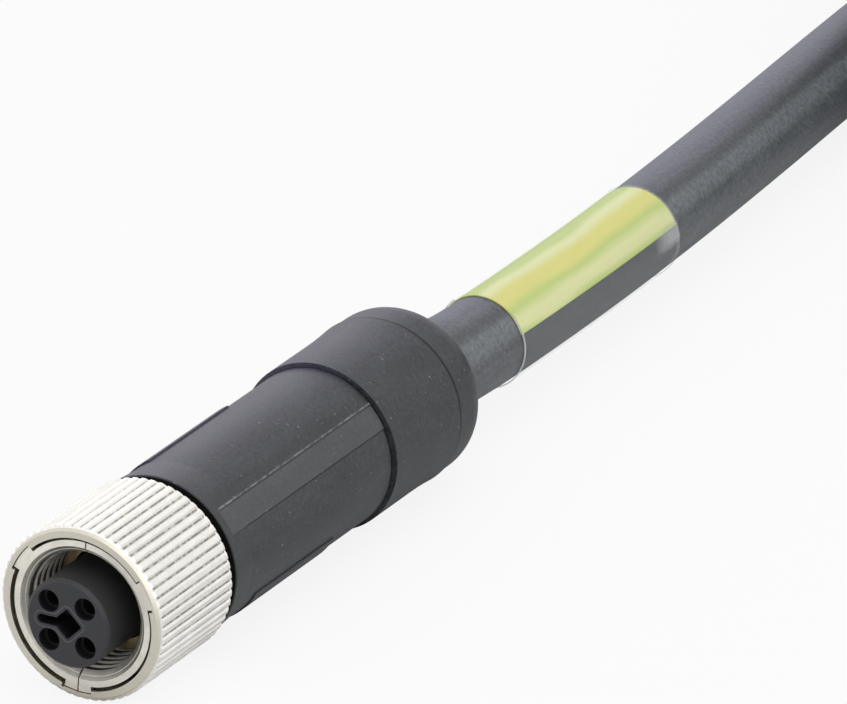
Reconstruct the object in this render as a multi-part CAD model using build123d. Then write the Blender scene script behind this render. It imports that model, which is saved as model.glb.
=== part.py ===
from build123d import *
import os
from math import cos, pi, radians, sin, tan

# Straight round connector on a cable. The connector lies along Y: its mating face looks towards
# -Y, the cable leaves towards +Y, and the origin is the centre of the contact face. Lengths are
# in millimetres. Angles round the axis run from +X towards +Z.

# Contact insert
INSERT_D = 8.4
INSERT_CHAMFER = 0.3
INSERT_SHOULDER_Y = 7.8
INSERT_SHOULDER_STEP = 0.25
INSERT_LENGTH = 21.5
CONTACT_COUNT = 4
CONTACT_CIRCLE_D = 5.2
CONTACT_FIRST_ANGLE = 45
ENTRY_HOLE_D = 2.1
ENTRY_HOLE_DEPTH = 1.0
GUIDE_HOLE_D = 1.6
CONTACT_START_Y = 2.8
RECESS_SQUARE = 2.1
RECESS_DEPTH = 2.5
RECESS_CORNER_R = 0.2
SLOT_WIDTH = 0.85
SLOT_REACH = 3.0

# Socket contacts
CONTACT_D = 1.9
PIN_BORE_D = 1.5
PIN_BORE_DEPTH = 5.5
TINE_SLOT = 0.2
TINE_LENGTH = 5.0
CRIMP_D = 2.3
CRIMP_START_Y = 22.0
CRIMP_END_Y = 27.0
CONDUCTOR_D = 1.4
CONDUCTOR_IN_CRIMP = 3.8

# Threaded ring, made of two half shells, and the thread's standard size
THREAD_D = 12.0
RING_WALL = 0.9
RING_D = THREAD_D + 2 * RING_WALL
RING_FRONT_Y = 2.5
RING_BACK_Y = 12.0
RING_MOUTH_WIDENING = 0.32
RING_MOUTH_D = THREAD_D + 2 * RING_MOUTH_WIDENING
RELIEF_DEPTH = 0.3
RELIEF_D = THREAD_D + 2 * RELIEF_DEPTH
RELIEF_START_Y = 8.8
FLANGE_FRONT_Y = 10.2
SPLIT_ANGLE = 86
SPLIT_GAP = 0.12
LUG_COUNT = 3
LUG_FIRST_ANGLE = -94
LUG_WIDTH_ANGLE = 21
LUG_HEIGHT = 0.6
LUG_D = RING_D + 2 * LUG_HEIGHT
LUG_END_Y = 9.6

# Knurled sleeve
SLEEVE_FRONT_Y = 2.25
SLEEVE_BACK_Y = 14.33
SLEEVE_CLEARANCE = 0.3
SLEEVE_WALL = 1.05
SLEEVE_BORE_D = RING_D + 2 * SLEEVE_CLEARANCE
SLEEVE_D = SLEEVE_BORE_D + 2 * SLEEVE_WALL
SLEEVE_BEVEL = 0.45
SLEEVE_BACK_BEVEL = 0.15
KNURL_COUNT = 57
KNURL_DEPTH = 0.19
KNURL_TIP_SHARE = 0.42
KNURL_ROOT_SHARE = 0.14
LUG_CLEARANCE = 0.06
LUG_SIDE_CLEARANCE_ANGLE = 1.2
SLEEVE_TRAVEL = 0.8

# Snap ring that keeps the sleeve on the threaded ring
SNAP_RING_Y = 11.0
SNAP_RING_WIDTH = 0.6
SNAP_RING_D = LUG_D
SNAP_GROOVE_DEPTH = 0.55
SNAP_GROOVE_D = RING_D - 2 * SNAP_GROOVE_DEPTH
SNAP_RING_GAP_ANGLE = 14
SNAP_CLEARANCE = 0.05
SNAP_RADIAL_CLEARANCE = 0.12

# Support barrel, in whose groove the threaded ring turns
BARREL_FRONT_Y = 9.0
BARREL_BACK_Y = 20.5
BARREL_COLLAR_D = 10.8
BARREL_WALL = 0.4
BARREL_REAR_COLLAR_D = 12.4
BARREL_REAR_COLLAR_LENGTH = 1.1
BARREL_STEM_D = 10.4
BARREL_RIB_D = 11.6
BARREL_RIB_YS = (15.2, 17.6)
BARREL_RIB_WIDTH = 1.0
RING_END_PLAY = 0.1
RING_RADIAL_PLAY = 0.08
SEAL_SECTION_D = 1.0

# Grip body and end ring
REAR_D = 16.12
STEP_HEIGHT = 0.42
GRIP_D = REAR_D - 2 * STEP_HEIGHT
GRIP_NOSE_D = 13.4
GRIP_RIM_GAP = 1.2
GRIP_RIM_RISE = 0.28
GRIP_RIM_D = GRIP_D + 2 * GRIP_RIM_RISE
GRIP_RIM_CHAMFER = 0.12
GRIP_RIM_TAPER_LENGTH = 4.0
STEP_Y = 43.4
STEP_GROOVE_WIDTH = 0.15
STEP_GROOVE_DEPTH = 0.24
STEP_GROOVE_D = GRIP_D - 2 * STEP_GROOVE_DEPTH
FLARE_START_Y = 50.3
FLARE_RISE = 0.17
FLARE_D = REAR_D + 2 * FLARE_RISE
SEAM_Y = 54.6
SEAM_WIDTH = 0.2
END_RING_INSET = 0.11
END_RING_D = FLARE_D - 2 * END_RING_INSET
SEAM_DEPTH = 0.22
SEAM_D = END_RING_D - 2 * SEAM_DEPTH
END_RING_LENGTH = 5.7
END_RING_BACK_Y = SEAM_Y + END_RING_LENGTH
END_RING_ROUNDING = 3.3
SPIGOT_D = 12.0
SPIGOT_LENGTH = 2.6
PANEL_TOP_ANGLE = 44.7
PANEL_LINE_ANGLE = 26.4
PANEL_BOTTOM_ANGLE = -62
PANEL_HEIGHT = 0.06
PANEL_FRONT_Y = 17.4
PANEL_LINE_WIDTH_ANGLE = 0.8
PANEL_END_GAP = 0.35
LOWER_PANEL_END_GAP = 0.55
PANEL_END_GAP_DEPTH = 0.18
BEAD_ANGLE = 46.8
BEAD_WIDTH_ANGLE = 1.6
GRIP_BAR_COUNT = 2
GRIP_BAR_FIRST_ANGLE = -44
GRIP_BAR_WIDTH_ANGLE = 30
GRIP_BAR_HEIGHT = 0.2
GRIP_BAR_FRONT_Y = 20.6
GRIP_BAR_LENGTH = 13.6
MOULD_D = 11.8
MOULD_BACK_Y = 46.0

# Cable, its cores and its marking
CABLE_D = 8.7
CABLE_START_Y = 44.0
CORE_D = 2.5
CORE_CIRCLE_D = 3.54
LABEL_START_Y = 72.8
LABEL_LENGTH = 28.6
LABEL_THICKNESS = 0.1
LABEL_MIDDLE_ANGLE = 100
LABEL_WIDTH_ANGLE = 160
CLEAR_SLEEVE_WALL = 0.16

# Surface that the connector lies on, and the ties that the cable's hank lies on
FLOOR_Z = -SLEEVE_D / 2
TIE_THICKNESS = 0.6
TIE_WIDTH = 9.0

# Cable route up to the hank, chosen by hand
CABLE_LIE_Z = FLOOR_Z + TIE_THICKNESS + CABLE_D / 2
CABLE_SAG_Z = -1.0
CABLE_SIDE_X = -6.8
CABLE_ROUTE = [
    (0, CABLE_START_Y, 0),
    (0, 63.5, 0),
    (0, 69.5, CABLE_SAG_Z),
    (0, 106, CABLE_SAG_Z),
    (CABLE_SIDE_X, 172, CABLE_LIE_Z),
    (CABLE_SIDE_X, 194, CABLE_LIE_Z),
]

# Hank of the put-away length: long turns, round at both ends, in two columns and three layers
HANK_COLUMNS = 2
HANK_LAYERS = 3
HANK_INNER_FOLD_R = 3 * CABLE_D
HANK_SIDE_LENGTH = 68.0
HANK_NEAR_Y = 180.0
HANK_ROUNDING = 3.6
HANK_END_RUN = 2.0
HANK_FAR_Y = HANK_NEAR_Y + HANK_SIDE_LENGTH
HANK_OUTER_FOLD_R = HANK_INNER_FOLD_R + (HANK_COLUMNS - 1) * CABLE_D
HANK_MIDDLE_X = CABLE_ROUTE[-1][0] + HANK_OUTER_FOLD_R
HANK_BOTTOM_Z = FLOOR_Z + TIE_THICKNESS
HANK_HEIGHT = HANK_LAYERS * CABLE_D
LEFT_TIE_Y = HANK_NEAR_Y + HANK_SIDE_LENGTH / 2
RIGHT_TIE_Y = HANK_FAR_Y - 20
SLACK_CORNER = 6.4

# Stripped cores at the open end: how far along each point lies, and how far down it has come
FREE_CORE_STATIONS = ((0, 0), (12, 0.35), (27, 1), (48, 1))
FREE_CORE_SPREAD = 0.3
FREE_CORE_LIFT = 0.05
FERRULE_D = 1.9
FERRULE_LENGTH = 8.0

CONTACT_ANGLES = [CONTACT_FIRST_ANGLE + i * 360 / CONTACT_COUNT for i in range(CONTACT_COUNT)]
FLANGE_SEAT_FRONT_Y = FLANGE_FRONT_Y - RING_END_PLAY
FLANGE_SEAT_BACK_Y = RING_BACK_Y + RING_END_PLAY
INSERT_REAR_D = INSERT_D + 2 * INSERT_SHOULDER_STEP
BARREL_GROOVE_D = INSERT_REAR_D + 2 * BARREL_WALL
GRIP_NOSE_Y = FLANGE_SEAT_BACK_Y + BARREL_REAR_COLLAR_LENGTH
GRIP_FRONT_Y = SLEEVE_BACK_Y + GRIP_RIM_GAP


def turned(corners):
    """Solid turned about Y from the corners (radius, y) of its section."""
    return revolve(make_face(Polyline(*corners, close=True)), Axis.Y)


def tube(outer_d, inner_d, start_y, end_y):
    """Plain sleeve between two places on the axis."""
    outer_r, inner_r = outer_d / 2, inner_d / 2
    return turned([(inner_r, start_y), (outer_r, start_y), (outer_r, end_y), (inner_r, end_y)])


def sector(outer_d, inner_d, start_y, end_y, middle_angle, width_angle):
    """Part of a sleeve that spans width_angle round the axis."""
    outer_r, inner_r = outer_d / 2, inner_d / 2
    section = Polyline(
        (inner_r, start_y), (outer_r, start_y), (outer_r, end_y), (inner_r, end_y), close=True
    )
    swept = revolve(make_face(section), Axis.Y, revolution_arc=width_angle)
    return Rot(0, -(middle_angle + width_angle / 2), 0) * swept


def across(sketch, start_y, end_y):
    """Sketch in X and Z, drawn out along Y."""
    return extrude(Plane.XZ.offset(-start_y) * sketch, start_y - end_y)


def on_circle(circle_d, angle):
    """Place (x, z) on a circle round the axis."""
    return circle_d / 2 * cos(radians(angle)), circle_d / 2 * sin(radians(angle))


def rod(diameter, start_y, end_y, place=(0, 0)):
    """Round rod along Y at a place (x, z)."""
    return across(Pos(*place) * Circle(diameter / 2), start_y, end_y)


def cut(body, tools):
    """Body without the space of each tool."""
    for tool in tools:
        body = body - tool
    return body


def contact_insert():
    """Moulded insert with its contact cavities and the square recess with a slot arm."""
    front_r, rear_r, shoulder_y = INSERT_D / 2, INSERT_REAR_D / 2, INSERT_SHOULDER_Y
    body = turned([
        (0, 0),
        (front_r - INSERT_CHAMFER, 0),
        (front_r, INSERT_CHAMFER),
        (front_r, shoulder_y),
        (rear_r, shoulder_y),
        (rear_r, INSERT_LENGTH),
        (0, INSERT_LENGTH),
    ])
    square = Rot(0, 0, 45) * RectangleRounded(RECESS_SQUARE, RECESS_SQUARE, RECESS_CORNER_R)
    arm_length = SLOT_REACH - SLOT_WIDTH / 2
    arm = Pos(-arm_length / 2, 0) * Rectangle(arm_length, SLOT_WIDTH)
    arm_end = Pos(-arm_length, 0) * Circle(SLOT_WIDTH / 2)
    body -= across(square + arm + arm_end, 0, RECESS_DEPTH)
    for angle in CONTACT_ANGLES:
        place = on_circle(CONTACT_CIRCLE_D, angle)
        body -= rod(ENTRY_HOLE_D, 0, ENTRY_HOLE_DEPTH, place)
        body -= rod(GUIDE_HOLE_D, ENTRY_HOLE_DEPTH, CONTACT_START_Y, place)
        body -= rod(CONTACT_D, CONTACT_START_Y, INSERT_LENGTH, place)
    return body


def socket_contact(angle):
    """Turned socket: bored and slotted front, crimp barrel behind."""
    place = on_circle(CONTACT_CIRCLE_D, angle)
    start_y = CONTACT_START_Y
    body = rod(CONTACT_D, start_y, CRIMP_START_Y, place)
    body += rod(CRIMP_D, CRIMP_START_Y, CRIMP_END_Y, place)
    body -= rod(PIN_BORE_D, start_y, start_y + PIN_BORE_DEPTH, place)
    body -= rod(CONDUCTOR_D, CRIMP_END_Y - CONDUCTOR_IN_CRIMP, CRIMP_END_Y, place)
    slot = Pos(*place) * Rot(0, 0, angle) * Rectangle(TINE_SLOT, CONTACT_D * 2)
    return body - across(slot, start_y, start_y + TINE_LENGTH)


def inner_core(angle):
    """Insulated core from a crimp to the end of the cable's jacket, its conductor in the crimp."""
    at_contact = on_circle(CONTACT_CIRCLE_D, angle)
    at_cable = on_circle(CORE_CIRCLE_D, angle)
    ends = [
        Plane.XZ.offset(-y) * Pos(*place) * Circle(CORE_D / 2)
        for y, place in ((CRIMP_END_Y, at_contact), (CABLE_START_Y, at_cable))
    ]
    return loft(ends) + rod(CONDUCTOR_D, CRIMP_END_Y - CONDUCTOR_IN_CRIMP, CRIMP_END_Y, at_contact)


def support_barrel():
    """Turned barrel round the insert: front collar, ring groove, rear collar and anchor ribs."""
    bore_r, groove_r = INSERT_REAR_D / 2, BARREL_GROOVE_D / 2
    collar_r, rear_r, stem_r = BARREL_COLLAR_D / 2, BARREL_REAR_COLLAR_D / 2, BARREL_STEM_D / 2
    body = turned([
        (bore_r, BARREL_FRONT_Y),
        (collar_r, BARREL_FRONT_Y),
        (collar_r, FLANGE_SEAT_FRONT_Y),
        (groove_r, FLANGE_SEAT_FRONT_Y),
        (groove_r, FLANGE_SEAT_BACK_Y),
        (rear_r, FLANGE_SEAT_BACK_Y),
        (rear_r, GRIP_NOSE_Y),
        (stem_r, GRIP_NOSE_Y),
        (stem_r, BARREL_BACK_Y),
        (bore_r, BARREL_BACK_Y),
    ])
    for rib_y in BARREL_RIB_YS:
        body += tube(BARREL_RIB_D, BARREL_STEM_D, rib_y, rib_y + BARREL_RIB_WIDTH)
    return body


def seal_ring():
    """Round seal between the insert's shoulder and the barrel."""
    middle_r = (INSERT_REAR_D + SEAL_SECTION_D) / 2
    section = Pos(middle_r, BARREL_FRONT_Y - SEAL_SECTION_D / 2) * Circle(SEAL_SECTION_D / 2)
    return revolve(section, Axis.Y)


def threaded_ring_halves():
    """Both half shells of the ring, right one first: thread bore, relief, flange, lugs and split."""
    ring_r, bore_r, relief_r = RING_D / 2, THREAD_D / 2, RELIEF_D / 2
    mouth_r, groove_r = RING_MOUTH_D / 2, SNAP_GROOVE_D / 2
    flange_r = BARREL_GROOVE_D / 2 + RING_RADIAL_PLAY
    snap_back_y = SNAP_RING_Y + SNAP_RING_WIDTH
    body = turned([
        (mouth_r, RING_FRONT_Y),
        (ring_r, RING_FRONT_Y),
        (ring_r, SNAP_RING_Y),
        (groove_r, SNAP_RING_Y),
        (groove_r, snap_back_y),
        (ring_r, snap_back_y),
        (ring_r, RING_BACK_Y),
        (flange_r, RING_BACK_Y),
        (flange_r, FLANGE_FRONT_Y),
        (relief_r, FLANGE_FRONT_Y),
        (relief_r, RELIEF_START_Y),
        (bore_r, RELIEF_START_Y),
        (bore_r, RING_FRONT_Y + mouth_r - bore_r),
    ])
    for i in range(LUG_COUNT):
        angle = LUG_FIRST_ANGLE + i * 360 / LUG_COUNT
        body += sector(LUG_D, RING_D, RING_FRONT_Y, LUG_END_Y, angle, LUG_WIDTH_ANGLE)
    split = Rot(0, 0, SPLIT_ANGLE) * Rectangle(2 * LUG_D, SPLIT_GAP)
    halves = (body - across(split, RING_FRONT_Y, RING_BACK_Y)).solids()
    return halves.sort_by(Axis.X, reverse=True)


def snap_ring():
    """Open ring of flat wire in the groove of the threaded ring."""
    width_angle = 360 - SNAP_RING_GAP_ANGLE
    end_y = SNAP_RING_Y + SNAP_RING_WIDTH
    return sector(SNAP_RING_D, SNAP_GROOVE_D, SNAP_RING_Y, end_y, SPLIT_ANGLE + 180, width_angle)


def knurl_outline():
    """Outline across the sleeve, with one flat-topped tooth for each knurl."""
    tip_r, root_r = SLEEVE_D / 2, SLEEVE_D / 2 - KNURL_DEPTH
    pitch = 2 * pi / KNURL_COUNT
    corners = []
    for i in range(KNURL_COUNT):
        middle = i * pitch
        tip_half, root_half = pitch * KNURL_TIP_SHARE / 2, pitch * KNURL_ROOT_SHARE / 2
        for radius, angle in (
            (tip_r, middle - tip_half),
            (tip_r, middle + tip_half),
            (root_r, middle + pitch / 2 - root_half),
            (root_r, middle + pitch / 2 + root_half),
        ):
            corners.append((radius * cos(angle), radius * sin(angle)))
    return make_face(Polyline(*corners, close=True))


def knurled_sleeve():
    """Knurled sleeve: bevelled ends, bore with lug grooves, and the recess of the snap ring."""
    outer_r = SLEEVE_D / 2
    bevelled = turned([
        (0, SLEEVE_FRONT_Y),
        (outer_r - SLEEVE_BEVEL, SLEEVE_FRONT_Y),
        (outer_r, SLEEVE_FRONT_Y + SLEEVE_BEVEL),
        (outer_r, SLEEVE_BACK_Y - SLEEVE_BACK_BEVEL),
        (outer_r - SLEEVE_BACK_BEVEL, SLEEVE_BACK_Y),
        (0, SLEEVE_BACK_Y),
    ])
    body = bevelled & across(knurl_outline(), SLEEVE_FRONT_Y, SLEEVE_BACK_Y)
    recess_end_y = SNAP_RING_Y + SNAP_RING_WIDTH + SNAP_CLEARANCE
    recess_start_y = SNAP_RING_Y - SLEEVE_TRAVEL - SNAP_CLEARANCE
    recess_d = SNAP_RING_D + 2 * SNAP_RADIAL_CLEARANCE
    body -= rod(SLEEVE_BORE_D, SLEEVE_FRONT_Y, SLEEVE_BACK_Y)
    body -= rod(recess_d, recess_start_y, recess_end_y)
    groove_d = LUG_D + 2 * LUG_CLEARANCE
    groove_angle = LUG_WIDTH_ANGLE + 2 * LUG_SIDE_CLEARANCE_ANGLE
    for i in range(LUG_COUNT):
        angle = LUG_FIRST_ANGLE + i * 360 / LUG_COUNT
        body -= sector(groove_d, RING_D, SLEEVE_FRONT_Y, recess_end_y, angle, groove_angle)
    return body


def grip_outline():
    """Outside of the moulded grip: nose, flared rim, front section, step, rear section and flare."""
    nose_r, rim_r, grip_r = GRIP_NOSE_D / 2, GRIP_RIM_D / 2, GRIP_D / 2
    groove_r, rear_r, flare_r = STEP_GROOVE_D / 2, REAR_D / 2, FLARE_D / 2
    front = Polyline(
        (0, SEAM_Y),
        (0, GRIP_NOSE_Y),
        (nose_r, GRIP_NOSE_Y),
        (nose_r, GRIP_FRONT_Y),
        (rim_r - GRIP_RIM_CHAMFER, GRIP_FRONT_Y),
        (rim_r, GRIP_FRONT_Y + GRIP_RIM_CHAMFER),
        (grip_r, GRIP_FRONT_Y + GRIP_RIM_TAPER_LENGTH),
        (grip_r, STEP_Y - STEP_GROOVE_WIDTH),
        (groove_r, STEP_Y - STEP_GROOVE_WIDTH),
        (groove_r, STEP_Y),
        (rear_r, STEP_Y),
        (rear_r, FLARE_START_Y),
    )
    flare = TangentArc((rear_r, FLARE_START_Y), (flare_r, SEAM_Y), tangent=(0, 1))
    return revolve(make_face(front + flare + Line((flare_r, SEAM_Y), (0, SEAM_Y))), Axis.Y)


def on_grip(height, start_y, end_y, top_angle, bottom_angle):
    """Shallow raised field on the front section of the grip."""
    middle, width = (top_angle + bottom_angle) / 2, top_angle - bottom_angle
    return sector(GRIP_D + 2 * height, GRIP_D - 2 * height, start_y, end_y, middle, width)


def marking_panel():
    """Raised panel on the grip's side, in an upper and a lower field, and the bead above it."""
    line_half, bead_half = PANEL_LINE_WIDTH_ANGLE / 2, BEAD_WIDTH_ANGLE / 2
    return [
        on_grip(PANEL_HEIGHT, PANEL_FRONT_Y, STEP_Y - PANEL_END_GAP,
                PANEL_TOP_ANGLE, PANEL_LINE_ANGLE + line_half),
        on_grip(PANEL_HEIGHT, PANEL_FRONT_Y, STEP_Y - LOWER_PANEL_END_GAP,
                PANEL_LINE_ANGLE - line_half, PANEL_BOTTOM_ANGLE),
        on_grip(PANEL_HEIGHT, PANEL_FRONT_Y, STEP_Y - PANEL_END_GAP,
                BEAD_ANGLE + bead_half, BEAD_ANGLE - bead_half),
    ]


def grip_bars():
    """Plain raised bars on opposite sides of the grip, for the fingers."""
    half, back_y = GRIP_BAR_WIDTH_ANGLE / 2, GRIP_BAR_FRONT_Y + GRIP_BAR_LENGTH
    angles = [GRIP_BAR_FIRST_ANGLE + i * 360 / GRIP_BAR_COUNT for i in range(GRIP_BAR_COUNT)]
    return [
        on_grip(GRIP_BAR_HEIGHT, GRIP_BAR_FRONT_Y, back_y, angle + half, angle - half)
        for angle in angles
    ]


def panel_end_gaps():
    """Wider parts of the step groove, at the ends of the panel's two fields."""
    groove_y = STEP_Y - STEP_GROOVE_WIDTH
    return [
        on_grip(PANEL_END_GAP_DEPTH, STEP_Y - PANEL_END_GAP, groove_y,
                PANEL_TOP_ANGLE, PANEL_LINE_ANGLE),
        on_grip(PANEL_END_GAP_DEPTH, STEP_Y - LOWER_PANEL_END_GAP, groove_y,
                PANEL_LINE_ANGLE, PANEL_BOTTOM_ANGLE),
    ]


def grip_body(inside):
    """Moulded grip with its marking panel and bars, round the pieces that it was moulded on."""
    body = grip_outline()
    for field in marking_panel() + grip_bars():
        body += field
    spigot = rod(SPIGOT_D, SEAM_Y - SPIGOT_LENGTH, SEAM_Y)
    return cut(body, panel_end_gaps() + inside + [spigot])


def end_ring():
    """Rounded ring at the cable's exit, with a spigot in the grip and a fine seam before it."""
    outer_r, seam_r, bore_r = END_RING_D / 2, SEAM_D / 2, CABLE_D / 2
    spigot_r, round_r = SPIGOT_D / 2, END_RING_ROUNDING
    round_y = END_RING_BACK_Y - round_r
    sides = Polyline(
        (outer_r - round_r, END_RING_BACK_Y),
        (bore_r, END_RING_BACK_Y),
        (bore_r, SEAM_Y - SPIGOT_LENGTH),
        (spigot_r, SEAM_Y - SPIGOT_LENGTH),
        (spigot_r, SEAM_Y),
        (seam_r, SEAM_Y),
        (seam_r, SEAM_Y + SEAM_WIDTH),
        (outer_r, SEAM_Y + SEAM_WIDTH),
        (outer_r, round_y),
    )
    corner = CenterArc((outer_r - round_r, round_y), round_r, start_angle=0, arc_size=90)
    return revolve(make_face(sides + corner), Axis.Y)


def smooth_radii(points):
    """Largest arc radius at each corner of a route: 0.45 of the shorter run by half the turn."""
    corners = [Vector(*p) for p in points]
    radii = []
    for before, corner, after in zip(corners, corners[1:], corners[2:]):
        run_in, run_out = corner - before, after - corner
        half_turn = radians(run_in.get_angle(run_out)) / 2
        radii.append(0.45 * min(run_in.length, run_out.length) / tan(half_turn))
    return radii


def route_path(points):
    """Path of straight runs joined by tangent arcs."""
    return FilletPolyline(*points, radius=smooth_radii(points))


def along(path, section):
    """Section, drawn in X and Z about its middle, swept along a path that starts towards +Y."""
    start = path @ 0
    return sweep(Pos(start.X, start.Y, start.Z) * (Plane.XZ * section), path=path)


def label_stretch():
    """Space of the cable's marked stretch."""
    reach = 4 * CABLE_D
    middle_y = LABEL_START_Y + LABEL_LENGTH / 2
    return Pos(0, middle_y, 0) * Box(reach, LABEL_LENGTH, reach)


def marker_label(path):
    """Flexible label on the top of the cable, bent round it."""
    inner_r, outer_r = CABLE_D / 2, CABLE_D / 2 + LABEL_THICKNESS
    first = LABEL_MIDDLE_ANGLE - LABEL_WIDTH_ANGLE / 2
    last = first + LABEL_WIDTH_ANGLE
    outer = CenterArc((0, 0), outer_r, start_angle=first, arc_size=LABEL_WIDTH_ANGLE)
    inner = CenterArc((0, 0), inner_r, start_angle=first, arc_size=LABEL_WIDTH_ANGLE)
    edges = [
        Line(on_circle(2 * inner_r, angle), on_circle(2 * outer_r, angle)) for angle in (first, last)
    ]
    return along(path, make_face(outer + inner + edges)) & label_stretch()


def clear_sleeve(path):
    """Clear sleeve over the label."""
    inner_r = CABLE_D / 2 + LABEL_THICKNESS
    ring = Circle(inner_r + CLEAR_SLEEVE_WALL) - Circle(inner_r)
    return along(path, ring) & label_stretch()


def long_turn(fold_r):
    """Filled outline of a turn of the hank, as long as the hank's sides and round at both ends."""
    middle_y = (HANK_NEAR_Y + HANK_FAR_Y) / 2
    slot = SlotCenterToCenter(HANK_SIDE_LENGTH, 2 * fold_r, rotation=90)
    return Pos(HANK_MIDDLE_X, middle_y) * slot


def cable_hank():
    """Outer shape of the hank, without the space of the last turn that the free cores lie in."""
    inside = long_turn(HANK_INNER_FOLD_R - CABLE_D / 2)
    between = long_turn(HANK_INNER_FOLD_R + CABLE_D / 2)
    outside = long_turn(HANK_OUTER_FOLD_R + CABLE_D / 2)
    ring = extrude(outside - inside, HANK_HEIGHT)
    levels = ring.edges().group_by(Axis.Z)
    ring = fillet(levels[0] + levels[-1], HANK_ROUNDING)
    last_turn = Pos(0, 0, HANK_HEIGHT - CABLE_D) * extrude(between - inside, CABLE_D)
    reach = 4 * HANK_OUTER_FOLD_R
    right_side = Pos(HANK_MIDDLE_X + reach / 2, HANK_FAR_Y - HANK_END_RUN - reach / 2)
    near_fold = Pos(HANK_MIDDLE_X, HANK_NEAR_Y - reach / 2)
    for place in (right_side, near_fold):
        ring -= last_turn & place * Box(reach, reach, 3 * HANK_HEIGHT)
    return Pos(0, 0, HANK_BOTTOM_Z) * ring


def hank_tie(middle_y, direction, slack_corner):
    """Flat tie round one side of the hank; it cuts off a slack corner over the free cores."""
    middle_x = (HANK_INNER_FOLD_R + HANK_OUTER_FOLD_R) / 2
    width, height = HANK_COLUMNS * CABLE_D, HANK_HEIGHT
    bundle = RectangleRounded(width, height, HANK_ROUNDING)
    if slack_corner:
        corner = Pos(-width / 2, height / 2) * Rot(0, 0, -45)
        bundle -= corner * Rectangle(slack_corner, 3 * slack_corner)
    band = offset(bundle, TIE_THICKNESS, kind=Kind.ARC) - bundle
    place = Pos(HANK_MIDDLE_X, middle_y + TIE_WIDTH / 2, HANK_BOTTOM_Z + height / 2)
    turned_out = Plane.XZ * Pos(middle_x, 0) * band
    tie = place * extrude(turned_out, TIE_WIDTH)
    if direction < 0:
        tie = mirror(tie, Plane.YZ.offset(HANK_MIDDLE_X))
    return tie


def free_core(angle, hank):
    """Core that leaves the jacket at the hank's end and lies in its last turn, with its ferrule."""
    offset_x, offset_z = on_circle(CORE_CIRCLE_D, angle)
    start_x, start_y = HANK_MIDDLE_X + HANK_INNER_FOLD_R, HANK_FAR_Y - HANK_END_RUN
    jacket_z = HANK_BOTTOM_Z + HANK_HEIGHT - CABLE_D / 2
    rest_z = HANK_BOTTOM_Z + HANK_HEIGHT - CABLE_D + CORE_D / 2 + FREE_CORE_LIFT
    if offset_z > 0:
        rest_z += CORE_D + FREE_CORE_LIFT
    points = []
    for run, sunk in FREE_CORE_STATIONS:
        spread = 1 + FREE_CORE_SPREAD * sunk
        height = (jacket_z + offset_z) * (1 - sunk) + rest_z * sunk
        points.append((start_x + offset_x * spread, start_y - run, height))
    path = route_path(points)
    core = sweep(Plane(path @ 0, z_dir=path % 0) * Circle(CORE_D / 2), path=path) - hank
    tip = Plane(path @ 1, z_dir=path % 1)
    return core, extrude(tip * Circle(FERRULE_D / 2), FERRULE_LENGTH)


def build_parts():
    """All pieces by name."""
    path = route_path(CABLE_ROUTE)
    right_half, left_half = threaded_ring_halves()
    hank = cable_hank()
    parts = {
        "knurled_sleeve": knurled_sleeve(),
        "threaded_ring_right": right_half,
        "threaded_ring_left": left_half,
        "snap_ring": snap_ring(),
        "seal_ring": seal_ring(),
        "contact_insert": contact_insert(),
        "support_barrel": support_barrel(),
    }
    for i, angle in enumerate(CONTACT_ANGLES, start=1):
        parts[f"socket_contact_{i}"] = socket_contact(angle)
        parts[f"inner_core_{i}"] = inner_core(angle)
        parts[f"free_core_{i}"], parts[f"core_ferrule_{i}"] = free_core(angle, hank)
    cable_in_mould = rod(CABLE_D, CABLE_START_Y, END_RING_BACK_Y)
    moulded_in = [
        parts[name]
        for name in parts
        if name.startswith(("contact_insert", "support_barrel", "socket_contact", "inner_core"))
    ]
    mould_blank = rod(MOULD_D, BARREL_BACK_Y, MOULD_BACK_Y)
    parts["inner_mould"] = cut(mould_blank, moulded_in + [cable_in_mould])
    envelope = rod(INSERT_REAR_D, GRIP_NOSE_Y, BARREL_BACK_Y)
    parts["grip_body"] = grip_body(
        [parts["support_barrel"], envelope, mould_blank, cable_in_mould]
    )
    parts["end_ring"] = end_ring()
    parts["cable_run"] = along(path, Circle(CABLE_D / 2))
    parts["marker_label"] = marker_label(path)
    parts["clear_sleeve"] = clear_sleeve(path)
    parts["cable_hank"] = hank
    parts["hank_tie_left"] = hank_tie(LEFT_TIE_Y, -1, 0)
    parts["hank_tie_right"] = hank_tie(RIGHT_TIE_Y, 1, SLACK_CORNER)
    expected = pi * CABLE_D**2 / 4 * path.length
    print("cable radii", [round(r) for r in smooth_radii(CABLE_ROUTE)], "length", round(path.length, 1))
    print("cable volume", round(parts["cable_run"].volume), "expected", round(expected))
    return parts


def main():
    """Writes each piece to its own file."""
    os.makedirs("parts", exist_ok=True)
    for name, piece in build_parts().items():
        piece.label = name
        export_step(piece, f"parts/{name}.step")


main()
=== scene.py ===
"""Round sensor connector on its cable: the looks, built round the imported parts.

Lengths in the code are metres, unless a name or comment says millimetres. The connector lies
along Y with its mating face towards -Y. Angles round it run from +X towards +Z.
"""
import math

import bmesh
import bpy
from mathutils import Matrix, Vector


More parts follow.
